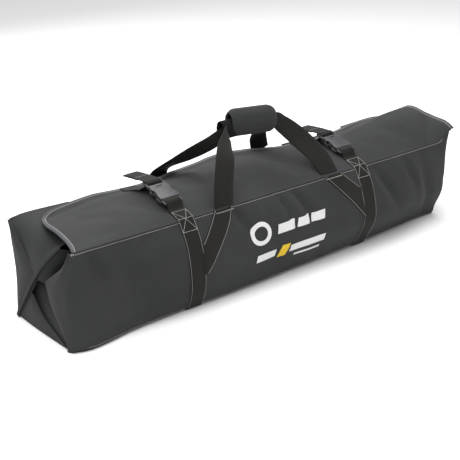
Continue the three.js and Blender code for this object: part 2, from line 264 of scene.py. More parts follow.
def link(name, mesh, body, material, replaced=()):
    piece = bpy.data.objects.new(name, mesh)
    bpy.context.scene.collection.objects.link(piece)
    mesh.materials.append(material)
    if isinstance(body, str):
        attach(piece, body)
    else:
        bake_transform(piece)
    if replaced:
        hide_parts(*replaced)
    return piece


def grid_data(rows, closed=False):
    """Vertices, faces and lengths along a grid of points, for a cloth-wise UV in metres."""
    count, width = len(rows), len(rows[0])
    points = np.array([[tuple(p) for p in row] for row in rows])
    along = np.zeros((count, width))
    along[:, 1:] = np.cumsum(np.linalg.norm(np.diff(points, axis=1), axis=2), axis=1)
    across = np.zeros((count, width))
    across[1:] = np.cumsum(np.linalg.norm(np.diff(points, axis=0), axis=2), axis=0)
    faces = []
    for r in range(count - 1):
        for c in range(width if closed else width - 1):
            d = (c + 1) % width
            faces.append((r * width + c, r * width + d, (r + 1) * width + d, (r + 1) * width + c))
    return points.reshape(-1, 3), faces, np.stack([along, across], axis=-1).reshape(-1, 2)


def to_mesh(name, vertices, faces, lengths=None):
    mesh = bpy.data.meshes.new(name)
    mesh.from_pydata([tuple(v) for v in vertices], [], faces)
    if lengths is not None:
        layer = mesh.uv_layers.new(name="cloth")
        loops = np.empty(len(mesh.loops), dtype=np.int32)
        mesh.loops.foreach_get("vertex_index", loops)
        layer.data.foreach_set("uv", np.ascontiguousarray(lengths[loops], dtype=np.float32).ravel())
    mesh.polygons.foreach_set("use_smooth", [True] * len(mesh.polygons))
    mesh.update()
    return mesh


def cloth(name, rows, body, material, slot, thickness=FABRIC, replaced=(), outward=1):
    """A sheet of cloth on a grid of points, thickened inwards and softened at its rim."""
    mesh = to_mesh(name, *grid_data(rows))
    piece = link(name, mesh, body, material, replaced)
    solid = piece.modifiers.new("thickness", "SOLIDIFY")
    solid.thickness = thickness
    solid.offset = -outward
    solid.use_even_offset = False
    rim = piece.modifiers.new("soft rim", "BEVEL")
    rim.width = thickness * 0.35
    rim.segments = 2
    rim.limit_method = "ANGLE"
    rim.angle_limit = math.radians(50)
    return piece


def directions(points):
    """The direction of a line at each of its points."""
    last = len(points) - 1
    return [(points[min(n + 1, last)] - points[max(n - 1, 0)]).normalized()
            for n in range(last + 1)]


def split(run):
    """Pairs of (point, normal) as a list of points and a list of normals."""
    return [p for p, _ in run], [n for _, n in run]


def tube(name, rings, body, material, slot, replaced):
    """A band through closed rings of points, with a face over each end."""
    vertices, faces, lengths = grid_data(rings, closed=True)
    ring = len(rings[0])
    last = (len(rings) - 1) * ring
    faces.append(tuple(reversed(range(ring))))
    faces.append(tuple(last + n for n in range(ring)))
    link(name, to_mesh(name, vertices, faces, lengths), body, material, replaced)


def net(corners, rows, columns):
    """A smooth grid through a small net of points, given as rows of equal length."""
    points = np.array(corners, dtype=float)

    def through(knots, t):
        last = len(knots) - 1
        place = t * last
        n = min(int(place), last - 1)
        f = place - n
        p = [knots[min(max(n + k, 0), last)] for k in (-1, 0, 1, 2)]
        return 0.5 * (2 * p[1] + (p[2] - p[0]) * f + (2 * p[0] - 5 * p[1] + 4 * p[2] - p[3]) * f**2
                      + (3 * p[1] - p[0] - 3 * p[2] + p[3]) * f**3)

    grid = []
    for v in spread(0, 1, rows):
        line = [through(points[:, c], v) for c in range(points.shape[1])]
        grid.append([through(line, u) for u in spread(0, 1, columns)])
    return grid


def band(name, path, ups, sides, width, thickness, body, material, slot, replaced=()):
    """Webbing with rounded edges along a path; ups are its face normals, sides its width."""
    profile = [(-0.5, 0.0), (-0.47, 0.42), (-0.42, 0.5), (0.42, 0.5), (0.47, 0.42), (0.5, 0.0),
               (0.47, -0.42), (0.42, -0.5), (-0.42, -0.5), (-0.47, -0.42)]
    wide = [(-0.38 + 0.76 * n / 8, 0.5) for n in range(1, 8)]
    profile = profile[:3] + wide + profile[3:8] + [(-x, -y) for x, y in wide] + profile[8:]
    rows = []
    for point, up, side in zip(path, ups, sides):
        rows.append([point + side * (a * width) + up * (b * thickness) for a, b in profile])
    tube(name, rows, body, material, slot, replaced)


def resample(points, step):
    """The points moved along their own line to stand an equal step apart."""
    lengths = [0.0]
    for a, b in zip(points, points[1:]):
        lengths.append(lengths[-1] + (b - a).length)
    count = max(round(lengths[-1] / step), 1)
    result, n = [], 0
    for k in range(count + 1):
        want = lengths[-1] * k / count
        while n < len(points) - 2 and lengths[n + 1] < want:
            n += 1
        gap = max(lengths[n + 1] - lengths[n], 1e-9)
        result.append(points[n].lerp(points[n + 1], (want - lengths[n]) / gap))
    return result


STITCH_RING = 6  # points round a stitch
STITCH_LENGTH, STITCH_HEIGHT = 0.84, 0.72  # as shares of its pitch and of its thread
# The swell of a stitch at places from its one end (-1) to its other (1).
STITCH_SHAPE = ((-1, 0.35), (-0.6, 1.0), (0.6, 1.0), (1, 0.35))


def stitches(name, lines, body, thread=THREAD, pitch=STITCH_PITCH):
    """Rows of raised stitches. Each line is (points, normals), the normals facing out."""
    ring, vertices, faces = STITCH_RING, [], []
    for points, normals in lines:
        spots = resample(points, pitch)
        for n, (a, b) in enumerate(zip(spots, spots[1:])):
            share = n / max(len(spots) - 1, 1)
            up = normals[min(int(share * len(normals)), len(normals) - 1)]
            along = (b - a) * (STITCH_LENGTH / 2)
            side = along.cross(up).normalized() * (thread / 2)
            rise = up.normalized() * (thread * STITCH_HEIGHT / 2)
            middle = (a + b) / 2
            start = len(vertices)
            for reach, swell in STITCH_SHAPE:
                for k in range(ring):
                    turn = 2 * math.pi * k / ring
                    vertices.append(middle + along * reach + side * (math.cos(turn) * swell)
                                    + rise * (math.sin(turn) * swell))
            for r in range(len(STITCH_SHAPE) - 1):
                low, high = start + r * ring, start + (r + 1) * ring
                for k in range(ring):
                    m = (k + 1) % ring
                    faces.append((low + k, low + m, high + m, high + k))
            faces.append(tuple(start + k for k in reversed(range(ring))))
            faces.append(tuple(start + 3 * ring + k for k in range(ring)))
    link(name, to_mesh(name, vertices, faces), body, MATERIALS["thread"])


# ---- materials ----


def new_material(name, roughness, sheen=0.0, shine=0.12):
    material = bpy.data.materials.new(name)
    material.use_nodes = True
    shader = material.node_tree.nodes["Principled BSDF"]
    shader.inputs["Roughness"].default_value = roughness
    shader.inputs["Sheen Weight"].default_value = sheen
    shader.inputs["Specular IOR Level"].default_value = shine
    shader.inputs["Sheen Roughness"].default_value = 0.45
    return material, material.node_tree, shader


def node(tree, kind, **values):
    made = tree.nodes.new(kind)
    for key, value in values.items():
        setattr(made, key, value)
    return made


def ramp(tree, source, dark, light, low=0.3, high=0.7):
    made = tree.nodes.new("ShaderNodeValToRGB")
    made.color_ramp.elements[0].color = (*dark, 1)
    made.color_ramp.elements[1].color = (*light, 1)
    made.color_ramp.elements[0].position = low
    made.color_ramp.elements[1].position = high
    tree.links.new(source, made.inputs["Fac"])
    return made


def weave_height(tree, pitch, diagonal=False):
    """Threads over and under, from the cloth's own lengths."""
    place = node(tree, "ShaderNodeTexCoord").outputs["UV"]
    waves = []
    for direction in ("X", "Y"):
        wave = node(tree, "ShaderNodeTexWave", wave_type="BANDS",
                    bands_direction="DIAGONAL" if diagonal and direction == "Y" else direction)
        wave.inputs["Scale"].default_value = 0.314 / pitch
        wave.inputs["Distortion"].default_value = 0.6
        wave.inputs["Detail"].default_value = 1.0
        tree.links.new(place, wave.inputs["Vector"])
        waves.append(wave.outputs["Fac"])
    both = node(tree, "ShaderNodeMath", operation="MULTIPLY")
    tree.links.new(waves[0], both.inputs[0])
    tree.links.new(waves[1], both.inputs[1])
    return both.outputs[0]


def cloud(tree, scale, detail):
    """A soft noise over the object."""
    place = node(tree, "ShaderNodeTexCoord").outputs["Object"]
    made = node(tree, "ShaderNodeTexNoise")
    made.inputs["Scale"].default_value = scale
    made.inputs["Detail"].default_value = detail
    tree.links.new(place, made.inputs["Vector"])
    return made.outputs["Fac"]


def relief(tree, shader, height, strength, distance):
    bump = node(tree, "ShaderNodeBump")
    bump.inputs["Strength"].default_value = strength
    bump.inputs["Distance"].default_value = distance
    tree.links.new(height, bump.inputs["Height"])
    tree.links.new(bump.outputs["Normal"], shader.inputs["Normal"])


def woven(name, dark, light, pitch, roughness, sheen, depth, diagonal=False):
    """Cloth of two shades in soft patches, with its threads standing up by the depth; the thread tops
    are painted lighter and the gaps between them darker as painted highlight and shade.
    """
    material, tree, shader = new_material(name, roughness, sheen)
    height = weave_height(tree, pitch, diagonal)
    shade = ramp(tree, cloud(tree, scale=9.0, detail=5.0), dark, light)
    # painted highlight and shade: the colour is multiplied lighter on the thread tops and darker in
    # the gaps
    threads = ramp(tree, height, (0.72, 0.72, 0.72), (1.15, 1.15, 1.15), 0.1, 0.9)
    mixed = node(tree, "ShaderNodeMix", data_type="RGBA", blend_type="MULTIPLY")
    mixed.inputs["Factor"].default_value = 1.0
    tree.links.new(shade.outputs["Color"], mixed.inputs["A"])
    tree.links.new(threads.outputs["Color"], mixed.inputs["B"])
    tree.links.new(mixed.outputs["Result"], shader.inputs["Base Color"])
    relief(tree, shader, height, strength=0.55, distance=depth)
    return material


def moulded(name, dark, light, roughness):
    """Satin moulded plastic with a fine grain and a painted highlight: its convex edges are painted
    lighter.
    """
    material, tree, shader = new_material(name, roughness, shine=0.5)
    grain = cloud(tree, scale=900.0, detail=3.0)
    # painted highlight: the colour runs from dark to light on convex edges, by pointiness
    edge_highlight = node(tree, "ShaderNodeNewGeometry")
    shade = ramp(tree, edge_highlight.outputs["Pointiness"], dark, light, 0.49, 0.56)
    tree.links.new(shade.outputs["Color"], shader.inputs["Base Color"])
    relief(tree, shader, grain, strength=0.25, distance=0.0001)
    return material


MATERIALS = {
    "shell": woven("shell cloth", (0.033, 0.034, 0.034), (0.043, 0.044, 0.045), 0.0011, 0.75, 0.05,
                   0.0003),
    # the inside cloth is painted near-black: painted shade for the hollows behind the end folds and
    # inside the grip's sleeve
    "inside": woven("inner cloth", (0.008, 0.008, 0.008), (0.012, 0.012, 0.012), 0.0011, 0.9, 0.0,
                    0.0003),
    "webbing": woven("webbing", (0.014, 0.0135, 0.012), (0.021, 0.02, 0.018), 0.0021, 0.7, 0.05,
                     0.0005, diagonal=True),
    "binding": woven("edge tape", (0.07, 0.072, 0.08), (0.1, 0.103, 0.114), 0.0014, 0.65, 0.05,
                     0.0003),
    "thread": woven("thread", (0.34, 0.335, 0.315), (0.46, 0.45, 0.42), 0.0006, 0.6, 0.05, 0.0001),
    "print": woven("screen print", (0.74, 0.74, 0.73), (0.84, 0.84, 0.83), 0.0011, 0.5, 0.0, 0.0002),
    "print_accent": woven("yellow print", (0.75, 0.5, 0.03), (0.85, 0.6, 0.05), 0.0011, 0.5, 0.0,
                          0.0002),
    # the lighter colour of the buckle plastic is a painted highlight on its convex edges
    "plastic": moulded("buckle plastic", (0.017, 0.0175, 0.019), (0.05, 0.05, 0.055), 0.4),
}
# A material with the slot that it stands for.
SHELL_FINISH = (MATERIALS["shell"], "shell_fabric")
WEBBING_FINISH = (MATERIALS["webbing"], "webbing")


# ---- the shell ----

END_STEPS, CORNER_STEPS, LENGTH_STEPS, HEIGHT_STEPS = 14, 8, 190, 44


def between(points, z):
    """The second value where the first is z, on straight lines through the points."""
    for (z0, v0), (z1, v1) in zip(points, points[1:]):
        if z <= z1:
            return lerp(v0, v1, (z - z0) / (z1 - z0))
    return points[-1][1]


# How far each panel turns across the end face at a height: the front as a triangle with its
# point at half height, the back as a triangle that meets the middle of the end.
FRONT_TURN = [(0.0, 0.018), (0.055, 0.077), (0.11, 0.112), (0.153, 0.05), (0.2, 0.003)]
BACK_TURN = [(0.0, 0.006), (0.107, 0.104), (0.2, 0.004)]
# The radius of the upright corners, sharp at the seam and at the foot.
FRONT_CORNER = [(0.0, 0.004), (0.03, 0.016), (0.1, 0.034), (0.16, 0.022), (0.2, 0.003)]
BACK_CORNER = [(0.0, 0.005), (0.1, 0.011), (0.2, 0.003)]


def rear_inset(x, z):
    """The lower rear corners are drawn in towards the middle."""
    return 0.037 * (1 - z / SEAM_Z) * smooth((abs(x) - HALF_LENGTH + 0.13) / 0.13)


def rear_flare(z, side):
    """The upper rear corners stick out a little."""
    return 0.007 * smooth((z - 0.1) / 0.1) if side > 0 else 0.0


def side_row(z, side):
    """One level line round a side panel: end turn, corner, the long face, corner, end turn."""
    turn, corner = (FRONT_TURN, FRONT_CORNER) if side < 0 else (BACK_TURN, BACK_CORNER)
    radius = between(corner, z)
    reach = max(between(turn, z) - radius, 0.001)
    halves = []
    for end in (-1, 1):
        outer = end * (HALF_LENGTH + rear_flare(z, side)) + end_lean(end, z)
        corner_x = outer - end * radius
        inset = rear_inset(corner_x, z) if side > 0 else 0
        corner_y = abs(side_y(corner_x, z, side)) - inset
        half = []
        for t in spread(1, 0, END_STEPS)[:-1]:
            swell = 0.005 * math.sin(math.pi * t) - 0.002 * t
            half.append((outer + end * swell, side * (corner_y - radius - reach * t), z))
        for t in spread(0, 1, CORNER_STEPS)[:-1]:
            angle = t * math.pi / 2
            half.append((corner_x + end * radius * math.cos(angle),
                         side * (corner_y - radius + radius * math.sin(angle)), z))
        halves.append((corner_x, half))
    (left_x, left), (right_x, right) = halves
    face = []
    for x in spread(left_x, right_x, LENGTH_STEPS):
        inset = rear_inset(x, z) if side > 0 else 0
        face.append((x, side_y(x, z, side) - side * inset, z))
    return [Vector(p) for p in left + face + right[::-1]]


def foot_round(z):
    """Where the panels roll in under the base at their foot."""
    return 0.006 * (1 - smooth(z / 0.01))


def panel_levels():
    return [0.0005, 0.001, 0.002] + spread(0.004, SEAM_Z - 0.0025, HEIGHT_STEPS)


def rear_climb(x):
    """The rear top edge bows up towards the left end, where the flap leaves it bare."""
    return 0.006 * smooth((-x - 0.36) / 0.08)


def side_shell(name, side, climb_at, node_name):
    """The front (side -1) or the back (side 1), whose top edge climbs by climb_at."""
    rows = []
    for z in panel_levels():
        climb = smooth((z - 0.12) / 0.08)
        rows.append([p + Vector((0, -side * foot_round(z), climb_at(p.x) * climb))
                     for p in side_row(z, side)])
    cloth(name, rows, "shell", *SHELL_FINISH,
          replaced=(node_name,), outward=-side)


HEM_LEFT = -0.45  # the rear hem starts here, under the flap


def rear_hem():
    """The back panel carries on over the rear top edge and forward under the flap."""
    rows = []
    right = HALF_LENGTH + end_lean(1, SEAM_Z) - 0.004
    for t in spread(0, 1, 26):
        y = lerp(abs(side_y(0, SEAM_Z - 0.003, 1)), 0.03, t)
        row = []
        for x in spread(HEM_LEFT, right, 150):
            edge = side_y(x, SEAM_Z - 0.003, 1)
            depth = min(edge, y + (edge - abs(SEAM_Y)) * (1 - t))
            under = flap_top(x, min(depth, FLAP_REAR)) - 0.0072
            roll = math.sin(smooth((edge - depth) / 0.03) * math.pi / 2)
            row.append(Vector((x, depth, lerp(SEAM_Z - 0.0035 + rear_climb(x), under, roll))))
        rows.append(row)
    cloth("rear_hem", rows, "shell", *SHELL_FINISH, outward=-1)


def base_shell():
    rows = []
    half = HALF_WIDTH - 0.004
    left, right = -HALF_LENGTH + end_lean(-1, 0), HALF_LENGTH + end_lean(1, 0)
    for t in spread(0, 1, 16):
        row = []
        for x in spread(left + 0.002, right - 0.002, 60):
            y = lerp(-half - curve(FRONT_FOOT, x), half - rear_inset(x, 0), t)
            row.append(Vector((x, y, 0.0016)))
        rows.append(row)
    cloth("base_shell", rows, "shell", *SHELL_FINISH, 0.0014,
          replaced=("base_panel",), outward=-1)
    line = [front_point(x, 0.0085, 0.0004)[0] for x in spread(left + 0.03, right - 0.03, 120)]
    ups = [Vector((0, -1, 0))] * len(line)
    stitches("base_seam_stitches", [(line, ups)], "shell", thread=0.0009)


# ---- the folded ends ----


def end_point(end, out, y, z):
    """A point on an end: how far outside the panels' ends, then depth and height."""
    if y < 0:
        y *= 1 + curve(FRONT_FOOT, end * HALF_LENGTH) / HALF_WIDTH * (1 - smooth(z / FOOT_HEIGHT))
    return (end * (HALF_LENGTH + out) + end_lean(end, z), y, z)


def end_piece(end, name, corners, rows, columns, material="shell", replaced=()):
    side = "left" if end < 0 else "right"
    points = [[end_point(end, *corner) for corner in line] for line in corners]
    grid = [[Vector(p) for p in line] for line in net(points, rows, columns)]
    cloth(f"{side}_{name}", grid, "shell", MATERIALS[material], "shell_fabric",
          0.002, replaced, -end)


def end_folds(end):
    side = "left" if end < 0 else "right"
    # the top of the end, from the rear top edge down to a hem that crosses the end
    end_piece(end, "end_top_fold",
              [[(0.004, 0.1265, 0.203), (-0.04, 0.129, 0.2055), (-0.14, 0.127, 0.203)],
               [(0.0, 0.088, 0.172), (-0.028, 0.078, 0.195), (-0.12, 0.07, 0.199)],
               [(-0.0025, 0.05, 0.138), (-0.014, 0.01, 0.176), (-0.09, -0.02, 0.194)],
               [(0.0, 0.013, 0.109), (-0.002, -0.02, 0.149), (-0.015, -0.056, 0.187)]], 26, 26)
    # the pleat that runs back into the bag behind the hem
    end_piece(end, "end_pleat",
              [[(-0.001, 0.012, 0.105), (-0.004, -0.02, 0.146), (-0.017, -0.056, 0.184)],
               [(-0.02, 0.0, 0.096), (-0.032, -0.032, 0.136), (-0.056, -0.062, 0.174)],
               [(-0.07, 0.0, 0.09), (-0.09, -0.024, 0.128), (-0.12, -0.054, 0.165)]], 14, 20)
    # the base turned up: an outer triangle over a deeper one
    end_piece(end, "end_foot_fold",
              [[(-0.001, 0.087, 0.001), (0.001, -0.004, 0.001), (-0.001, -0.1, 0.002)],
               [(-0.002, 0.062, 0.033), (0.002, 0.021, 0.034), (-0.001, -0.021, 0.033)],
               [(-0.004, 0.037, 0.066), (-0.003, 0.034, 0.067), (-0.004, 0.03, 0.066)]], 18, 24)
    end_piece(end, "end_inner_fold",
              [[(-0.004, 0.08, 0.002), (-0.004, -0.01, 0.002), (-0.004, -0.115, 0.002)],
               [(-0.01, 0.07, 0.05), (-0.012, 0.0, 0.048), (-0.009, -0.078, 0.045)],
               [(-0.018, 0.035, 0.1), (-0.032, 0.0, 0.1), (-0.026, -0.04, 0.098)]], 16, 24)
    # the lining behind all the folds, its cloth painted near-black as the shade in the hollow
    end_piece(end, "end_lining",
              [[(-0.008, 0.08, 0.004), (-0.008, 0.0, 0.004), (-0.008, -0.115, 0.004)],
               [(-0.03, 0.1, 0.1), (-0.05, 0.0, 0.1), (-0.035, -0.115, 0.1)],
               [(-0.06, 0.115, 0.185), (-0.075, 0.0, 0.188), (-0.03, -0.118, 0.188)]], 10, 10,
              "inside", (f"{side}_end_panel",))
    # the narrow sewn hem from the foot of the rear corner through the middle to the flap
    knots = [(0.001, 0.087, 0.003), (0.003, 0.05, 0.057), (0.004, 0.012, 0.108),
             (0.001, -0.021, 0.148), (-0.013, -0.057, 0.188)]
    path = [Vector(p) for p in net([[end_point(end, *knot) for knot in knots]], 1, 40)[0]]
    ups, sides = [], []
    for along in directions(path):
        across = along.cross(Vector((end, 0, 0))).normalized()
        sides.append(across)
        ups.append(across.cross(along).normalized())
    band(f"{side}_end_hem", path, ups, sides, 0.0075, 0.005, "shell", MATERIALS["shell"],
         "shell_fabric")


# ---- the flap ----


def flap_outline():
    """The flap's free edge, from the left end of the seam round to the right end."""
    rear = FLAP_REAR + 0.002
    knots = [(-0.5155, SEAM_Y - 0.0005), (-0.5065, -0.1), (-0.501, -0.065), (-0.4985, -0.025),
             (-0.495, 0.01), (-0.487, 0.042), (-0.476, 0.066), (-0.459, 0.084), (-0.43, 0.096),
             (-0.395, rear), (-0.3, rear), (-0.1, rear),
             (0.1, rear), (0.3, rear), (0.45, rear), (0.49, 0.088), (0.51, 0.068), (0.52, 0.03),
             (0.528, -0.02), (0.54, -0.07), (HALF_LENGTH + 0.027, SEAM_Y - 0.0005)]
    line = net([[(x, y, 0) for x, y in knots]], 1, 400)[0]
    return resample([Vector(p) for p in line], 0.012)


OUTLINE = flap_outline()


def on_flap(point):
    return Vector((point.x, point.y, flap_top(point.x, point.y)))


def edge_ends(y):
    """Where the flap's edge stands at a depth: its left and right x."""
    crossings = []
    for a, b in zip(OUTLINE, OUTLINE[1:]):
        low, high = sorted((a.y, b.y))
        if low <= y <= high and high > low:
            crossings.append(lerp(a.x, b.x, (y - a.y) / (b.y - a.y)))
    return min(crossings), max(crossings)


def seam_point(x):
    """Where the front panel meets the flap."""
    return Vector((x, side_y(x, SEAM_Z - 0.0035, -1), SEAM_Z - 0.003 + corner_climb(x)))


def flap_cloth():
    rows = []
    left, right = OUTLINE[0].x, OUTLINE[-1].x
    for drop, out in ((0.0, 0.0012), (-0.0018, 0.0008), (-0.0032, -0.0012)):
        rows.append([seam_point(x) - Vector((0, out, drop)) for x in spread(left, right, 220)])
    for y in spread(SEAM_Y + 0.0022, max(p.y for p in OUTLINE) - 0.0006, 46):
        left, right = edge_ends(y)
        rows.append([on_flap(Vector((x, y, 0))) for x in spread(left, right, 220)])
    flap = cloth("flap_cloth", rows, "flap", *SHELL_FINISH,
                 replaced=("top_flap",), outward=1)


EDGE_TILT = 34  # how far the rear edge's tape turns up from the cloth, in degrees
EDGE_REACH = 0.0042  # and how far it stands out beyond the cloth there


def edge_frames():
    """The free edge's points, normals and outward directions, with the rear edge turned up."""
    points = [on_flap(p) for p in OUTLINE]
    ups, outs = [], []
    for n, p in enumerate(points):
        along = (points[min(n + 1, len(points) - 1)] - points[max(n - 1, 0)]).normalized()
        step = 0.004
        slope_x = (flap_top(p.x + step, p.y) - flap_top(p.x - step, p.y)) / (2 * step)
        slope_y = (flap_top(p.x, p.y + step) - flap_top(p.x, p.y - step)) / (2 * step)
        up = Vector((-slope_x, -slope_y, 1)).normalized()
        up = (up - along * up.dot(along)).normalized()
        rear = max(smooth((p.y - 0.05) / 0.04), smooth((p.x - 0.46) / 0.04))
        up = Matrix.Rotation(math.radians(EDGE_TILT) * rear, 3, along) @ up
        ups.append(up)
        outs.append(up.cross(along).normalized())
        points[n] = p + outs[-1] * (EDGE_REACH * rear)
    return points, ups, outs


def flap_binding():
    points, ups, outs = edge_frames()
    middle = [p - up * (FABRIC / 2) - out * 0.0015 for p, up, out in zip(points, ups, outs)]
    band("flap_edge_tape", middle, ups, outs, 0.0092, FABRIC + 0.0022, "flap",
         MATERIALS["binding"], "edge_binding", ("flap_binding",))
    line = [p + up * 0.0014 - out * 0.0036 for p, up, out in zip(points, ups, outs)]
    stitches("flap_edge_stitches", [(line, ups)], "flap", thread=0.0017, pitch=0.0046)


def seam_stitches():
    ends = (-HALF_LENGTH + 0.008, HALF_LENGTH - 0.009)
    line = [seam_point(x) + Vector((0, -0.0015, -0.0018)) for x in spread(*ends, 120)]
    up = [Vector((0, -0.8, 0.6))] * len(line)
    stitches("front_seam_stitches", [(line, up)], "shell", thread=0.0014, pitch=0.0048)
    # a short bar of dense stitching at each end
    for name, x, reach in (("left", ends[0], -0.008), ("right", ends[1], 0.006)):
        bars = []
        for n in range(3):
            shift = Vector((0, 0, -0.0012 * n))
            bars.append(([seam_point(x) + shift, seam_point(x + reach) + shift], [up[0]]))
        stitches(f"{name}_bar_tack", bars, "shell", thread=0.0016, pitch=0.0045)


# ---- closure straps ----


def panel_point(x, z, lift, side):
    """A point standing off the front (side -1) or the back (side 1), with its outward normal."""
    step = 0.003
    slope = (side_y(x, z + step, side) - side_y(x, z - step, side)) / (2 * step)
    normal = Vector((0, side, -side * slope)).normalized()
    return Vector((x, side_y(x, z, side), z)) + normal * lift, normal


def front_point(x, z, lift):
    return panel_point(x, z, lift, -1)


def back_point(x, z, lift):
    return panel_point(x, z, lift, 1)


def flap_point(x, y, lift):
    step = 0.003
    slope = (flap_top(x, y + step) - flap_top(x, y - step)) / (2 * step)
    normal = Vector((0, -slope, 1)).normalized()
    return Vector((x, y, flap_top(x, y))) + normal * lift, normal


def side_vectors(count):
    return [Vector((1, 0, 0))] * count


def edge_rows(path, ups, width, inset=0.0013, lift=WEBBING / 2 + 0.0002):
    """A row of stitches along each edge of a strap."""
    lines = []
    for sign in (-1, 1):
        shift = Vector((sign * (width / 2 - inset), 0, 0))
        lines.append(([p + shift + up * lift for p, up in zip(path, ups)], ups))
    return lines


BOX_TOP, BOX_FOOT = SEAM_Y + 0.02, SEAM_Z - 0.02  # the X-stitched box over the seam


def strap(side):
    x = STRAPS[side]
    lift = WEBBING / 2 + 0.0004
    front = [front_point(x, z, lift) for z in spread(BOX_FOOT - 0.004, 0.012, 26)]
    back = [back_point(x, z, lift) for z in spread(0.012, REAR_Z - 0.007, 26)]
    under_z = WEBBING / 2
    under = [(Vector((x, y, under_z)), Vector((0, 0, -1)))
             for y in spread(side_y(x, 0.004, -1) + 0.006, side_y(x, 0.004, 1) - 0.006, 12)]
    corners = []
    for sign in (-1, 1):
        corner = Vector((x, side_y(x, 0.004, sign) + sign * 0.0015, 0.0035))
        corners.append((corner, Vector((0, sign * 0.7, -0.7))))
    run = front + corners[:1] + under + corners[1:] + back
    path, ups = split(run)
    band(f"{side}_strap", path, ups, side_vectors(len(path)), STRAP_WIDTH, WEBBING, "shell",
         *WEBBING_FINISH, (f"{side}_strap_wrap",))
    rows = []
    for part in (front, back):
        rows += edge_rows(*split(part), STRAP_WIDTH)
    stitches(f"{side}_strap_stitches", rows, "shell", thread=0.001)


def tab(side):
    """The webbing from the front, over the seam, to the socket, shaped with a bend at the seam."""
    x = STRAPS[side]
    lift = WEBBING / 2 + 0.0006
    seat = BUCKLES[side]
    run = [front_point(x, z, lift) for z in spread(BOX_FOOT - 0.004, SEAM_Z - 0.008, 6)]
    run.append((Vector((x, SEAM_Y - 0.003, SEAM_Z + 0.0012)), Vector((0, -0.6, 0.8))))
    run += [flap_point(x, y, lift) for y in spread(SEAM_Y + 0.006, SEAM_Y + 0.03, 6)]
    bar, slot = seat @ Vector((0, -0.0115, 0.0096)), seat @ Vector((0, -0.0015, 0.0094))
    run += [(run[-1][0].lerp(bar, t), run[-1][1]) for t in spread(0, 1, 4)[1:]]
    run.append((slot, run[-1][1]))
    path, ups = split(run)
    blend = ("shell", "flap", (x, SEAM_Y - 0.008, SEAM_Z - 0.004),
             (x, SEAM_Y + 0.006, SEAM_Z + 0.006))
    band(f"{side}_tab", path, ups, side_vectors(len(path)), STRAP_WIDTH, WEBBING, blend,
         *WEBBING_FINISH, (f"{side}_front_tab",))
    stitch_lift = WEBBING / 2 + 0.0003
    box = [(p, n) for p, n in run if p.y <= BOX_TOP + 0.002]
    rise = [(p + n * stitch_lift, n) for p, n in box]
    half = STRAP_WIDTH / 2 - 0.0014

    def across(index, offset):
        return rise[index][0] + Vector((offset, 0, 0))

    last = len(rise) - 1
    lines = [([across(0, -half), across(0, half)], [rise[0][1]]),
             ([across(last, -half), across(last, half)], [rise[last][1]])]
    gone = [0.0]
    for (a, _), (b, _) in zip(rise, rise[1:]):
        gone.append(gone[-1] + (b - a).length)
    for sign in (-1, 1):
        lines.append(([across(n, sign * half) for n in range(last + 1)], [n for _, n in rise]))
        lines.append(([across(n, sign * half * (2 * gone[n] / gone[-1] - 1)) for n in range(last + 1)],
                      [n for _, n in rise]))
    seam = min(range(last + 1), key=lambda n: abs(rise[n][0].y - SEAM_Y + 0.003))
    lines.append(([across(seam, -half), across(seam, half)], [rise[seam][1]]))
    stitches(f"{side}_box_stitches", lines, blend, thread=0.0014, pitch=0.0046)


TAIL_TWIST = 14  # degrees: the free tail turns a little as it leaves the buckle
TAIL_DRIFT = 0.012  # and swings towards the left


def load_and_tail(side):
    x = STRAPS[side]
    seat = BUCKLES[side]
    body = f"{side}_rear_strap"
    bar = seat @ Vector((0, 0.064, 0.004))
    run = [(bar, Vector((0, -0.3, 0.95)))]
    for y in spread(bar.y + 0.03, FLAP_REAR, 8):
        run.append(flap_point(x, y, 0.0025))
    run += [(Vector((x, REAR_Y - 0.014, REAR_Z + 0.0015)), Vector((0, 0.5, 0.86))),
            (Vector((x, REAR_Y + 0.003, REAR_Z - 0.004)), Vector((0, 0.9, 0.43))),
            back_point(x, REAR_Z - 0.01, WEBBING / 2 + 0.0004)]
    path, ups = [p for p, _ in run], [n.normalized() for _, n in run]
    blend = ("shell", body, (x, REAR_Y + 0.008, REAR_Z - 0.006), (x, REAR_Y - 0.006, REAR_Z + 0.002))
    band(f"{side}_load_strap", path, ups, side_vectors(len(path)), STRAP_WIDTH, WEBBING, blend,
         *WEBBING_FINISH, (f"{side}_load_webbing",))
    # the free tail: round the ladder's bar, back over itself, ending in a sewn fold
    low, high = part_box(f"{side}_strap_tail")
    fold = [seat @ Vector((0, a, b)) for a, b in ((0.06, 0.0105), (0.064, 0.0112), (0.069, 0.011))]
    tip = Vector((x - 0.003, high[1] - 0.004, low[2] + 0.002))
    crest = fold[-1].lerp(tip, 0.45) + Vector((0, 0, 0.001))
    knots = [fold[0], fold[1], fold[2], crest, tip]
    line = [Vector(p) for p in net([knots], 1, 24)[0]]
    last = len(line) - 1
    ups, sides = [], []
    for n, along in enumerate(directions(line)):
        turn = Matrix.Rotation(math.radians(-TAIL_TWIST * n / last), 3, "Z")
        side_way = turn @ Vector((1, 0, 0))
        side_way = (side_way - along * side_way.dot(along)).normalized()
        sides.append(side_way)
        ups.append(side_way.cross(along).normalized())
    line = [p - Vector((TAIL_DRIFT * (n / last) ** 2, 0, 0)) for n, p in enumerate(line)]
    band(f"{side}_tail", line, ups, sides, STRAP_WIDTH, WEBBING, body,
         *WEBBING_FINISH, (f"{side}_strap_tail",))
    lap = [p - up * (WEBBING + 0.0002) for p, up in zip(line[-8:], ups[-8:])]
    band(f"{side}_tail_fold", lap, ups[-8:], sides[-8:], STRAP_WIDTH, WEBBING, body,
         *WEBBING_FINISH)
    base = line[-7] + ups[-7] * (WEBBING / 2 + 0.0003)
    reach = sides[-7] * (STRAP_WIDTH / 2 - 0.002)
    stitches(f"{side}_tail_stitches", [([base - reach, base + reach], [ups[-7]])], body,
             thread=0.0014, pitch=0.0045)


# ---- buckles ----


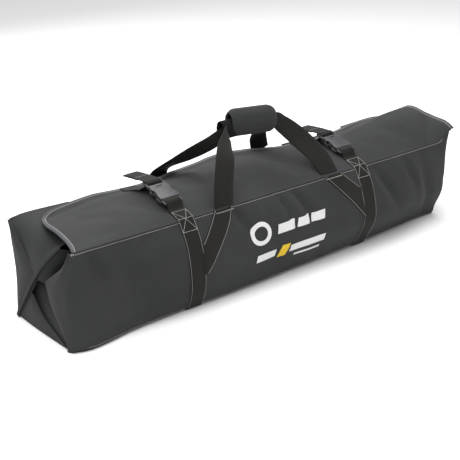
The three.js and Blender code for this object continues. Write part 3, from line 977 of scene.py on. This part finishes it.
def buckle_seat(side):
    """The buckle's own frame: its origin at the socket's webbing end, +Y out of the mouth."""
    arm = JOINTS[f"{side}_buckle_left_release"]
    axis = Vector(arm["axis"])
    tilt = math.atan2(-axis.y, axis.z)
    hinge = Vector(arm["pos_m"])
    turn = Matrix.Rotation(tilt, 4, "X")
    origin = hinge - turn.to_3x3() @ Vector((-0.0125, 0.045, 0.006))
    return Matrix.Translation((STRAPS[side], origin.y, origin.z)) @ turn


BUCKLES = {side: buckle_seat(side) for side in STRAPS}


def moulding(name, parts, seat, body, replaced, bevel=0.0011):
    """Flat outlines, each (points, low, high) in millimetres, raised and rounded at the edges."""
    vertices, faces = [], []
    for outline, low, high in parts:
        start, count = len(vertices), len(outline)
        for level in (low, high):
            vertices += [seat @ Vector((x / 1000, y / 1000, level / 1000)) for x, y in outline]
        faces.append(tuple(start + n for n in reversed(range(count))))
        faces.append(tuple(start + count + n for n in range(count)))
        for n in range(count):
            m = (n + 1) % count
            faces.append((start + n, start + m, start + count + m, start + count + n))
    mesh = to_mesh(name, vertices, faces)
    piece = link(name, mesh, body, MATERIALS["plastic"], replaced)
    rounded = piece.modifiers.new("rounded edges", "BEVEL")
    rounded.width = bevel
    rounded.segments = 3
    rounded.limit_method = "ANGLE"
    rounded.angle_limit = math.radians(35)


def mirrored(half):
    """An outline from its right half, listed from front to back."""
    return half + [(-x, y) for x, y in reversed(half)]


def rectangle(x0, y0, x1, y1):
    return [(x0, y0), (x1, y0), (x1, y1), (x0, y1)]


def both_sides(x, half, y0, y1, low, high):
    """A raised bar and its mirror image on the other side of the buckle."""
    return [(rectangle(s * x - half, y0, s * x + half, y1), low, high) for s in (-1, 1)]


def buckle(side):
    seat = BUCKLES[side]
    plate = mirrored([(22.5, 0), (24, 2), (24, 15), (21.5, 18.5), (20.5, 26), (21.5, 33), (24, 36),
                      (23.5, 43), (20, 46), (9, 46), (6, 43.5)])
    walls = both_sides(18.6, 2.2, 0.5, 16, 2, 10)
    mouth = both_sides(20.6, 1.6, 36, 45, 2, 10)
    rails = both_sides(21, 1.8, -13, 2, 3.2, 8)
    bars = [(rectangle(-22.8, -13.5, 22.8, -9.5), 3.2, 8), (rectangle(-20, -3, 20, 11), 2.2, 9.8)]
    socket = [(plate, 9.4, 12), (plate, 0, 2.6)] + walls + mouth + rails + bars
    moulding(f"{side}_socket_shell", socket, seat, "flap", (f"{side}_buckle_socket",))
    body = f"{side}_rear_strap"
    flange = mirrored([(21, 46.8), (22, 48), (22, 52), (20.5, 53)])
    ladder = both_sides(20.5, 1.8, 52, 74, 3.4, 8.6)
    ladder += [(rectangle(-22.3, y, 22.3, y + 3.4), 3.4, 8.6) for y in (60.5, 70.8)]
    tongue = mirrored([(2.5, 15), (4, 17), (4, 47)])
    moulding(f"{side}_plug_frame", [(flange, 2, 10.4), (tongue, 3.5, 8.5)] + ladder, seat, body,
             (f"{side}_buckle_plug",), 0.0008)
    for arm, s in (("left", -1), ("right", 1)):
        outline = [(10.5, 17), (13.2, 15.5), (17.4, 19), (19.6, 21), (21.9, 24), (21.4, 30),
                   (17.6, 32.6), (15.4, 35), (14.6, 45), (10.5, 45.4)]
        outline = [(s * x, y) for x, y in outline][::s]
        moulding(f"{side}_{arm}_prong", [(outline, 3.4, 8.6)], seat, f"{side}_plug_{arm}_arm_body",
                 (f"{side}_plug_{arm}_arm",), 0.0008)


# ---- handles ----

GRIP_LOW, GRIP_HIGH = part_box("grip_pad")
LID_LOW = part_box("grip_lid")[0]
GRIP_MIDDLE = Vector(((GRIP_LOW[0] + GRIP_HIGH[0]) / 2, (LID_LOW[1] + GRIP_HIGH[1]) / 2,
                      (GRIP_LOW[2] + GRIP_HIGH[2]) / 2))
GRIP_HALF = Vector(((GRIP_HIGH[0] - GRIP_LOW[0]) / 2, (GRIP_HIGH[1] - LID_LOW[1]) / 2,
                    (GRIP_HIGH[2] - GRIP_LOW[2]) / 2))
HANDLE_X = 0.152  # where the handles' legs are sewn on, from the bag's middle
HANDLE_THICKNESS = 0.0026
GRIP_TILT = -0.006  # the grip's right end hangs lower than its middle


# Each leg from its seam to the grip: [x, y, z, width, lean of the width from level to upright].
HANDLE_LEGS = {
    "front": [[(-0.151, -0.125, 0.195, 0.05, 0), (-0.149, -0.1235, 0.235, 0.05, -2),
               (-0.128, -0.106, 0.296, 0.048, -12), (-0.094, -0.068, 0.322, 0.036, -48),
               (-0.058, -0.041, 0.335, 0.028, -88)],
              [(0.151, -0.125, 0.195, 0.05, 0), (0.143, -0.102, 0.232, 0.05, 12),
               (0.118, -0.068, 0.274, 0.049, 28), (0.08, -0.045, 0.315, 0.04, 58),
               (0.052, -0.041, 0.334, 0.028, 90)]],
    "rear": [[(-0.151, 0.129, 0.2, 0.05, 0), (-0.15, 0.112, 0.226, 0.05, 0),
              (-0.134, 0.05, 0.262, 0.046, -20), (-0.098, -0.012, 0.303, 0.034, -60),
              (-0.062, -0.034, 0.328, 0.028, -88)],
             [(0.151, 0.131, 0.2, 0.05, 0), (0.13, 0.11, 0.245, 0.05, 8),
              (0.096, 0.055, 0.29, 0.046, 30), (0.072, 0.0, 0.32, 0.036, 62),
              (0.05, -0.03, 0.336, 0.028, 90)]],
}


def handle_band(face):
    left, right = HANDLE_LEGS[face]
    stops = left + [(x, y, z, width, turn - 180) for x, y, z, width, turn in right[::-1]]
    steps = 110
    middle = [Vector(p) for p in net([[stop[:3] for stop in stops]], 1, steps)[0]]
    shape = net([[(stop[3], stop[4], 0) for stop in stops]], 1, steps)[0]
    sides, ups, sizes = [], [], []
    for n, along in enumerate(directions(middle)):
        turn = math.radians(shape[n][1])
        side = Vector((math.cos(turn), 0, math.sin(turn)))
        side = (side - along * side.dot(along)).normalized()
        sides.append(side)
        ups.append(side.cross(along).normalized())
        sizes.append(shape[n][0])
    return middle, ups, sides, sizes


def handle_webbing(face):
    middle, ups, sides, sizes = handle_band(face)
    profile = [(-0.5, 0.0), (-0.46, 0.5), (-0.2, 0.55), (0.0, 0.5), (0.2, 0.55), (0.46, 0.5),
               (0.5, 0.0), (0.46, -0.5), (0.2, -0.45), (0.0, -0.5), (-0.2, -0.45), (-0.46, -0.5)]
    rows = []
    for p, up, side, size in zip(middle, ups, sides, sizes):
        rows.append([p + side * (a * size) + up * (b * HANDLE_THICKNESS) for a, b in profile])
    tube(f"{face}_handle_loop", rows, f"{face}_handle", *WEBBING_FINISH,
         (f"{face}_handle_webbing",))


def sewn_leg(face, side_name):
    """The handle's sewn end, slanting down the panel until it meets the closure strap."""
    s = -1 if side_name == "left" else 1
    strap_edge = abs(STRAPS[side_name]) - STRAP_WIDTH / 2 + 0.004
    point = front_point if face == "front" else back_point
    rows, lines = [], ([], [])
    foot = SEAM_Z - 0.118
    for z in spread(SEAM_Z - 0.003, foot, 30):
        drop = SEAM_Z - z
        outer = min(HANDLE_X + 0.025 + drop * 0.98, strap_edge)
        inner = min(HANDLE_X - 0.025 + drop * 0.84, strap_edge - 0.001)
        row = []
        for x in spread(outer, inner, 10):
            p, n = point(s * x, z, WEBBING * 0.9)
            row.append(p)
            if x in (outer, inner) and abs(x - strap_edge) > 0.003:
                edge = Vector((s * (x + (-0.003 if x == outer else 0.003)), p.y, p.z)) + n * 0.0006
                lines[0 if x == outer else 1].append((edge, n))
        rows.append(row)
    name = f"{face}_{side_name}_leg"
    outward = 1 if (s < 0) == (face == "front") else -1
    cloth(name, rows, "shell", *WEBBING_FINISH, WEBBING,
          (f"{face}_{side_name}_sewn_leg",), -outward)
    top = [point(s * x, SEAM_Z - 0.0085, WEBBING * 0.9 + 0.0006)
           for x in spread(HANDLE_X - 0.022, HANDLE_X + 0.026, 6)]
    stitched = [split(line) for line in lines if len(line) > 2]
    stitches(f"{name}_stitches", stitched, "shell", thread=0.0012)
    stitches(f"{name}_bar", [split(top)], "shell", thread=0.0022)


GRIP_SLEEVE = 0.014  # the pads stop this far short of the CAD grip's left end
SLEEVE_REACH = 0.01  # and the inner sleeve stands out this far past it


def grip_sleeve():
    """The sleeve round the handles, an open tube at the grip's left end, its cloth painted near-black
    as the shade inside it.
    """
    rows = []
    left = GRIP_LOW[0] - SLEEVE_REACH
    for x in spread(left, left + 0.06, 8):
        row = []
        for angle in spread(0, 2 * math.pi, 36):
            row.append(Vector((x, GRIP_MIDDLE.y + GRIP_HALF.y * 0.7 * math.cos(angle),
                               GRIP_MIDDLE.z + GRIP_TILT + GRIP_HALF.z * 0.68 * math.sin(angle))))
        rows.append(row)
    cloth("grip_sleeve", rows, "front_handle", MATERIALS["inside"], "grip_fabric", 0.002, (), 1)


def grip():
    """Two padded halves that wrap both handles, quilted in shallow long rows."""
    grip_sleeve()
    for name, body, start, node_name in (("grip_back", "front_handle", -90, "grip_pad"),
                                         ("grip_cover_pad", "grip_cover", 90, "grip_lid")):
        rows = []
        for u in spread(-1, 1, 40):
            squeeze = 1 - 0.26 * max(abs(u) - 0.7, 0) ** 2 / 0.09
            row = []
            for angle in spread(start + 1, start + 179, 36):
                turn = math.radians(angle)
                quilt = 1 + 0.012 * math.cos(10 * turn)
                row.append(Vector((
                    GRIP_MIDDLE.x + GRIP_HALF.x * u + GRIP_SLEEVE * (1 - u) / 2,
                    GRIP_MIDDLE.y + GRIP_HALF.y * math.cos(turn) * squeeze * quilt,
                    GRIP_MIDDLE.z + GRIP_TILT * u + GRIP_HALF.z * math.sin(turn) * squeeze * quilt)))
            rows.append(row)
        pad = cloth(name, rows, body, MATERIALS["shell"], "grip_fabric", 0.005, (node_name,), 1)
    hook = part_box("grip_hook_strip")
    rows = [[Vector((x, hook[0][1], z)) for x in spread(hook[0][0], hook[1][0], 30)]
            for z in spread(hook[0][2], hook[1][2], 6)]
    cloth("hook_tape", rows, "grip_cover", MATERIALS["webbing"], "hook_tape", 0.0014,
          ("grip_hook_strip",))


# ---- the plain printed mark ----


def print_patch(name, outline_rows, material):
    rows = []
    for line in outline_rows:
        rows.append([front_point(x, z, 0.0007)[0] for x, z in line])
    mesh = to_mesh(name, *grid_data(rows))
    link(name, mesh, "shell", material)


# Each printed bar: its left and right x, the z of its foot, its height and how far it leans.
PRINT_BARS = {
    "print_bar_0": (-0.04, 0.01, 0.118, 0.02, 0.005),
    "print_bar_1": (0.018, 0.052, 0.118, 0.02, 0.005),
    "print_bar_2": (0.06, 0.098, 0.118, 0.02, 0.005),
    "print_line_left": (-0.1, -0.045, 0.066, 0.016, 0.004),
    "print_accent": (-0.038, -0.016, 0.06, 0.028, 0.012),
    "print_line_right": (-0.006, 0.096, 0.066, 0.016, 0.004),
    "print_underline": (0.01, 0.084, 0.052, 0.005, 0.001),
}


def bar_rows(x0, x1, z, height, lean):
    return [[(x + lean * t, z + height * t) for x in spread(x0, x1, 24)] for t in spread(0, 1, 4)]


def printed_mark():
    ring_x, ring_z, outer, inner = -0.082, 0.129, 0.026, 0.016
    ring = [[(ring_x + r * math.cos(2 * math.pi * k / 48), ring_z + r * math.sin(2 * math.pi * k / 48))
             for k in range(49)] for r in spread(inner, outer, 3)]
    print_patch("print_ring", ring, MATERIALS["print"])
    for name, bar in PRINT_BARS.items():
        material = "print_accent" if name == "print_accent" else "print"
        print_patch(name, bar_rows(*bar), MATERIALS[material])


# ---- camera, light and floor ----


CAMERA_PLACE, CAMERA_AIM = Vector((-1.4216, -1.8741, 1.0030)), Vector((-0.047, 0.0, 0.0819))
CAMERA_ROLL, CAMERA_LENS = -2.75, 85.5  # in degrees, and in mm on a 36 mm sensor
LIGHT_AIM = Vector((0, 0, 0.1))
# Each light: its name, place, size and power.
LIGHTS = [
    ("key", (-1.2, -1.4, 2.2), 1.4, 26),
    ("top", (0.1, 0.3, 2.6), 2.4, 75),
    ("back", (0.2, 2.2, 1.6), 2.0, 26),
]
FLOOR_HALF, FLOOR_Z = 6, -0.0004


def set_camera():
    camera_data = bpy.data.cameras.new("camera")
    camera = bpy.data.objects.new("camera", camera_data)
    bpy.context.scene.collection.objects.link(camera)
    camera_data.sensor_width = 36.0
    camera_data.lens = CAMERA_LENS
    facing = (CAMERA_AIM - CAMERA_PLACE).to_track_quat("-Z", "Y").to_matrix().to_4x4()
    roll = Matrix.Rotation(math.radians(CAMERA_ROLL), 4, "Z")
    camera.matrix_world = Matrix.Translation(CAMERA_PLACE) @ facing @ roll
    bpy.context.scene.camera = camera


def set_lights():
    world = bpy.data.worlds.new("studio")
    world.use_nodes = True
    world.node_tree.nodes["Background"].inputs["Color"].default_value = (1, 1, 1, 1)
    world.node_tree.nodes["Background"].inputs["Strength"].default_value = 0.62
    bpy.context.scene.world = world
    bpy.context.scene.view_settings.view_transform = "Standard"
    for name, at, size, power in LIGHTS:
        light = bpy.data.lights.new(name, "AREA")
        light.size = size
        light.energy = power
        lamp = bpy.data.objects.new(name, light)
        lamp.location = at
        lamp.rotation_euler = (LIGHT_AIM - Vector(at)).to_track_quat("-Z", "Y").to_euler()
        bpy.context.scene.collection.objects.link(lamp)


def lay_floor():
    floor_material, _, shader = new_material("floor", 0.9)
    shader.inputs["Base Color"].default_value = (0.92, 0.92, 0.92, 1)
    corners = ((-1, -1), (1, -1), (1, 1), (-1, 1))
    vertices = [(x * FLOOR_HALF, y * FLOOR_HALF, FLOOR_Z) for x, y in corners]
    mesh = to_mesh("floor", vertices, [(0, 1, 2, 3)])
    mesh.materials.append(floor_material)
    floor = bpy.data.objects.new("floor", mesh)
    bpy.context.scene.collection.objects.link(floor)


set_camera()
set_lights()
lay_floor()
side_shell("front_shell", -1, corner_climb, "front_panel")
side_shell("back_shell", 1, rear_climb, "back_panel")
rear_hem()
base_shell()
for end in (-1, 1):
    end_folds(end)
flap_cloth()
flap_binding()
seam_stitches()
for side in STRAPS:
    strap(side)
    tab(side)
    load_and_tail(side)
    buckle(side)
for face in ("front", "rear"):
    handle_webbing(face)
    for side in STRAPS:
        sewn_leg(face, side)
grip()
printed_mark()
